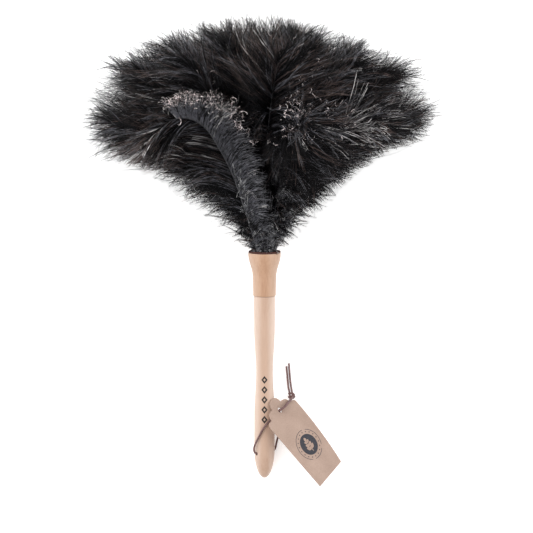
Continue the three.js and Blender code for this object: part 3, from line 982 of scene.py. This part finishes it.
# ---------- Cord and knot ----------
# Routes in millimetres from the foot of the butt, from the cross hole to the bare ends.
FRONT_STRAND = [
    (-0.24, 22.3, 9.25), (-3.5, 22.0, 11.8), (-6.0, 21.8, 13.7), (-7.7, 22.1, 15.0), (-8.9, 23.6, 15.9),
    (-9.2, 26.6, 16.8), (-7.8, 31.0, 18.3), (-4.9, 36.8, 20.5), (-1.2, 43.8, 22.4), (2.9, 49.2, 22.8),
    (6.2, 52.7, 21.6), (8.5, 55.4, 19.4), (10.0, 57.1, 18.0), (11.3, 58.4, 18.2), (12.3, 59.3, 19.7),
    (13.0, 59.9, 21.5), (14.2, 60.6, 23.1), (16.0, 62.0, 23.9), (18.0, 63.5, 23.2), (19.5, 65.0, 21.4),
    (20.7, 66.3, 18.9), (21.9, 67.6, 16.4), (23.2, 68.9, 13.9), (24.2, 70.1, 11.0), (24.6, 71.1, 7.8),
]
BACK_STRAND = [
    (0.24, 22.4, 8.9), (3.5, 22.7, 6.3), (6.0, 22.9, 4.4), (8.0, 23.5, 2.8), (9.4, 25.4, 1.7),
    (10.2, 28.4, 1.1), (11.3, 33.2, 1.3), (13.0, 38.8, 2.8), (14.5, 45.2, 5.9), (14.9, 51.3, 9.3),
    (13.9, 56.4, 12.2), (13.0, 59.0, 15.2), (13.2, 60.3, 18.0), (13.9, 60.9, 20.0), (15.0, 61.5, 21.4),
    (16.4, 62.5, 21.9), (17.8, 63.7, 20.7), (18.8, 64.9, 18.3), (20.0, 66.2, 15.6), (21.3, 67.5, 13.3),
    (22.4, 68.7, 11.2), (22.8, 69.4, 9.2), (22.7, 69.8, 7.3),
]
# Inside the knot the strands pass down through its turns.
FRONT_INSIDE = [(24.9, 72.6, 5.6), (24.6, 74.2, 4.4)]
BACK_INSIDE = [(22.5, 71.4, 5.6), (22.2, 73.4, 4.2)]
LONG_TAIL = [(24.3, 75.7, 3.6), (23.6, 80.0, 2.2), (22.9, 85.0, 1.3), (22.3, 92.0, 1.0), (21.6, 101.0, 1.0)]
SHORT_TAIL = [(22.1, 75.2, 3.4), (21.1, 80.0, 1.9), (20.6, 85.0, 1.1), (20.1, 91.0, 1.0), (19.4, 98.3, 1.0)]
KNOT_CENTRE = (24.0, 71.9, 3.9)
KNOT_AXIS = np.array([-0.45, 3.0, -1.1])
KNOT_LENGTH = 5.0
KNOT_TURNS = 2.6


def cord_piece(name, path, material, *nodes):
    """A round cord along a path, in place of CAD nodes."""
    data = bpy.data.curves.new(name, "CURVE")
    data.dimensions = "3D"
    data.bevel_depth = CORD_RADIUS
    data.bevel_resolution = 4
    data.use_fill_caps = True
    line = data.splines.new("POLY")
    line.points.add(len(path) - 1)
    for point, place in zip(line.points, path):
        point.co = (*place, 1)
    cord = add_object(name, data)
    place_piece(cord, [material], "cord", *nodes)
    return cord


def make_knot(material):
    """The overhand knot's outer turns, wound round the two strands."""
    t = np.linspace(0, 1, 90)
    angle = 2 * math.pi * KNOT_TURNS * t + 0.6
    forward = unit(KNOT_AXIS)
    side = unit(np.cross(forward, (0, 0, 1)))
    lift = np.cross(side, forward)
    swell = 2.3 - 0.35 * np.cos(2 * math.pi * t)
    along = np.outer(KNOT_LENGTH * (t - 0.5) + 0.5 * np.sin(angle * 0.5), forward)
    around = np.outer(swell * np.cos(angle), side) + np.outer(swell * np.sin(angle), lift)
    path = (KNOT_CENTRE + along + around) * MM + FOOT
    return cord_piece("knot_turns", path, material, "cord_knot")


def make_cords(material):
    """The knot and the two strands that it ties, each with its tail."""
    knot = make_knot(material)
    routes = {
        "front": (FRONT_STRAND + FRONT_INSIDE + LONG_TAIL, "cord_long_tail"),
        "back": (BACK_STRAND + BACK_INSIDE + SHORT_TAIL, "cord_short_tail"),
    }
    for name, (route, tail) in routes.items():
        route = np.array(route) * MM + FOOT
        path = spline(route, 8 * (len(route) - 1))
        cord = cord_piece(f"{name}_cord", path, material, f"cord_{name}_strand", tail)


# ---------- Printed and burnt marks, in millimetres ----------
TAG_HOLE = FOOT + np.array([13.46, 60.3, 20.6]) * MM
TAG_YAW, TAG_ROLL, TAG_PITCH = (math.radians(turn) for turn in (38.3, 42, 6))
TAG_THICKNESS = 0.8
PRINT_CENTRE = np.array([1.5, -40.0])
PRINT_RING = (13.7, 14.15)
PRINT_DOTS_AT = 11.8
PRINT_DISC = 9.7
MARK_DEPTH = 0.25
MARK_LIFT = 0.06
SPRIG_LIFT = 0.14
DIAMOND_FIRST = 53.4
DIAMOND_SPACING = 8.8
DIAMOND_CORNERS = [(0, 3.5), (2.8, 0), (0, -3.5), (-2.8, 0)]
DIAMOND_HOLLOW = 0.38


def tag_axes():
    """The tag's directions: across its face, down its length and off its face."""
    level = np.array([math.cos(TAG_YAW), math.sin(TAG_YAW), 0])
    ahead = np.array([math.sin(TAG_YAW), -math.cos(TAG_YAW), 0])
    down = ahead * math.cos(TAG_PITCH) - np.array([0, 0, math.sin(TAG_PITCH)])
    upright = np.cross(down, level)
    across = level * math.cos(TAG_ROLL) - upright * math.sin(TAG_ROLL)
    return across, down, np.cross(down, across)


TAG_ACROSS, TAG_DOWN, TAG_OUT = tag_axes()


def on_tag(across, up, height):
    """Place on the tag: across and up from its hole, and off its face."""
    off_middle = TAG_THICKNESS / 2 + height
    return TAG_HOLE + (across * TAG_ACROSS - up * TAG_DOWN + off_middle * TAG_OUT) * MM


def on_handle(around, along, height):
    """Place on the handle: round it from its top, along it from the foot, and off its side."""
    radius = float(np.interp(along * MM, HANDLE_OUTLINE[:, 1], HANDLE_OUTLINE[:, 0]))
    turn = around * MM / radius
    reach = radius + height * MM
    return np.array(WOODWORK @ Vector((reach * math.sin(turn), along * MM, reach * math.cos(turn))))


def band(inner, outer, place, closed, lift=MARK_LIFT):
    """A thin raised strip between two lines on a surface: its vertices and faces."""
    count = len(inner)
    rows = [(outer, lift), (inner, lift), (inner, lift - MARK_DEPTH), (outer, lift - MARK_DEPTH)]
    vertices = [tuple(place(x, y, height)) for line, height in rows for x, y in line]
    faces = []
    for row in range(4):
        this, beside = row * count, (row + 1) % 4 * count
        for step in range(count if closed else count - 1):
            ahead = (step + 1) % count
            faces.append((this + step, this + ahead, beside + ahead, beside + step))
    if not closed:
        faces.append(tuple(row * count for row in range(4)))
        faces.append(tuple(row * count + count - 1 for row in reversed(range(4))))
    return vertices, faces


def ring(centre, inner, outer, start=0, end=360, steps=48):
    """A ring printed on the tag, or a part of one, in degrees."""
    closed = end - start == 360
    turn = np.radians(np.linspace(start, end, steps, endpoint=not closed))
    circle = np.stack([np.cos(turn), np.sin(turn)], axis=1)
    return band(centre + inner * circle, centre + outer * circle, on_tag, closed)


def leaf(root, degrees, length):
    """A pointed leaf printed on the tag, from its root."""
    along = np.linspace(0, 1, 12)
    swell = 0.3 * length * np.sin(math.pi * along) ** 0.8 + 0.04
    turn = math.radians(degrees)
    ahead = np.array([math.cos(turn), math.sin(turn)])
    aside = np.outer(swell, (-ahead[1], ahead[0]))
    spine = root + np.outer(along * length, ahead)
    return band(spine + aside, spine - aside, on_tag, False, SPRIG_LIFT)


def make_marks(name, groups, materials, body, slot):
    """One mesh from groups of bands, a group for each material."""
    vertices, faces, numbers = [], [], []
    for number, bands in enumerate(groups):
        for points, quads in bands:
            start = len(vertices)
            vertices += points
            faces += [tuple(start + corner for corner in quad) for quad in quads]
            numbers += [number] * len(quads)
    mesh = bpy.data.meshes.new(name)
    mesh.from_pydata(vertices, [], faces)
    tidy_mesh(mesh)
    mesh.polygons.foreach_set("material_index", numbers)
    place_piece(add_object(name, mesh), materials, slot, body=body)


def make_tag_print(ink, card):
    """A generic rosette: a broken ring, dots and a dark disc with a plain leaf sprig."""
    printed = [ring(PRINT_CENTRE, *PRINT_RING, *part) for part in ((-35, 60), (75, 240), (255, 310))]
    for turn in np.radians(range(0, 360, 20)):
        dot = PRINT_CENTRE + PRINT_DOTS_AT * np.array([math.cos(turn), math.sin(turn)])
        printed.append(ring(dot, 0.05, 0.55, steps=10))
    printed.append(ring(PRINT_CENTRE, 0.1, PRINT_DISC))
    sprig = []
    for step in range(3):
        root = PRINT_CENTRE + (-0.3, 3.2 * step - 4.5)
        sprig += [leaf(root, 35, 5.6 - step), leaf(root, 145, 5.6 - step)]
    sprig.append(leaf(PRINT_CENTRE + (-0.3, 2.8), 90, 4.6))
    stem = PRINT_CENTRE + np.array([(-0.6, -7), (-0.5, 4)])
    sprig.append(band(stem, stem + (0.6, 0), on_tag, False, SPRIG_LIFT))
    make_marks("tag_print", (printed, sprig), (ink, card), "tag", "card")


def diamond(middle, size, steps=6):
    """Outline of a diamond round a place along the handle."""
    line = []
    for start, end in zip(DIAMOND_CORNERS, DIAMOND_CORNERS[1:] + DIAMOND_CORNERS[:1]):
        line += [np.multiply(start, 1 - w) + np.multiply(end, w) for w in np.arange(steps) / steps]
    return np.array(line) * size + (0, middle)


def make_handle_marks(burnt):
    """Five plain hollow diamonds, burnt into the top of the handle."""
    diamonds = []
    for middle in DIAMOND_FIRST + DIAMOND_SPACING * np.arange(5):
        diamonds.append(band(diamond(middle, DIAMOND_HOLLOW), diamond(middle, 1), on_handle, True))
    make_marks("handle_marks", (diamonds,), (burnt,), BODY, "beech")


# ---------- Assembly ----------
# Each wood: light and dark tones, the warm tone of the painted shade along its middle (white for none), the
# figure's fineness and the grain's share.
WOODS = {
    "beech_wood": ((0.60, 0.455, 0.37), (0.51, 0.36, 0.275), (0.75, 0.63, 0.54), 90, 0.35),
    "dark_beech_wood": ((0.50, 0.325, 0.225), (0.40, 0.235, 0.15), (0.88, 0.78, 0.68), 110, 0.45),
    "dowel_wood": ((0.6, 0.46, 0.32), (0.48, 0.33, 0.22), (1, 1, 1), 120, 0.4),
}


def make_woodwork():
    """Handle, collar and the dowel inside them, each of its own wood."""
    beech, dark, plain = (wood_material(name, *tones) for name, tones in WOODS.items())
    make_handle(beech)
    make_collar(dark)
    give_material(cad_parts["core_dowel"], plain)


def make_bindings():
    """Felt at the rim and twine round the quills."""
    felt = noisy_material("maroon_felt", (0.03, 0.011, 0.01), (0.11, 0.04, 0.033), 900, 0.95)
    make_rim_felt(felt, np.random.default_rng(FELT_SEED))
    twine = noisy_material("twine_fibre", (0.3, 0.24, 0.16), (0.6, 0.52, 0.38), 800, 0.9)
    for number in (1, 2, 3):
        give_material(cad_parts[f"binding_{number}"], twine)


def make_tag_and_cord(card):
    """The card tag and the cord that ties it to the handle."""
    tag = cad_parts["tag"]
    give_material(tag, card)
    tones = (0.085, 0.04, 0.038), (0.21, 0.115, 0.11)
    make_cords(noisy_material("waxed_cord", *tones, 700, 0.55, depth=0.15 * MM))


def mark_handle_and_tag(card):
    """Burnt marks on the handle, ink and bare card on the tag."""
    make_handle_marks(noisy_material("burnt_mark", (0.008, 0.005, 0.004), (0.03, 0.018, 0.013), 900, 0.6))
    ink = noisy_material("print_ink", (0.012, 0.012, 0.018), (0.035, 0.034, 0.045), 1200, 0.65)
    make_tag_print(ink, card)


make_camera()
make_stage()
kraft_card = card_material()
make_tag_and_cord(kraft_card)
make_woodwork()
make_bindings()
mark_handle_and_tag(kraft_card)
make_plume()
